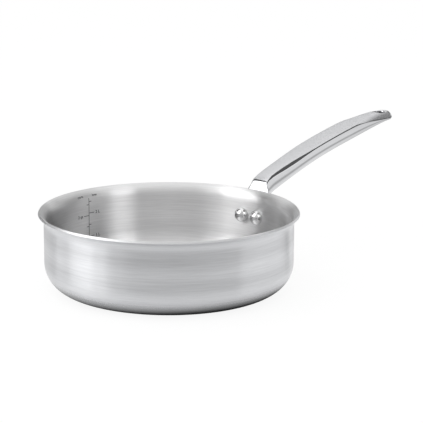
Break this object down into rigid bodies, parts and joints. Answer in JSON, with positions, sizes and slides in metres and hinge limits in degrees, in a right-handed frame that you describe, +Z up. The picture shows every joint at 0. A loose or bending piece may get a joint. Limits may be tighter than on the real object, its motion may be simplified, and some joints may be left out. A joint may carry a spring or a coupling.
{
  "type": "saute pan",
  "caption": "Straight-sided saute pan drawn from clad sheet, with a rounded bottom corner, a flared pouring rim and a long arched cast handle riveted to the wall.",
  "frame": {"origin": "centre of the base on the pan's axis, on the surface that the pan stands on", "axes": "+X along the handle, away from the pan; +Z up, out of the pan's mouth; +Y to the left of a cook who looks along +X"},
  "size_m": [0.4655, 0.248, 0.129],
  "materials": {
    "inner_liner": "fine brushed rings round the axis, satin",
    "aluminium_core": "plain, seen only as a thin line at the edge of the rim",
    "outer_skin": "fine brushed rings round the axis, satin",
    "cast_handle": "satin top face brushed across, polished edges, sides and belly",
    "rivets": "polished"
  },
  "bodies": {
    "root": {"inner_liner": "inner_liner", "aluminium_core": "aluminium_core", "outer_skin": "outer_skin", "cast_handle": "cast_handle", "rivet_left": "rivets", "rivet_right": "rivets"}
  },
  "joints": []
}
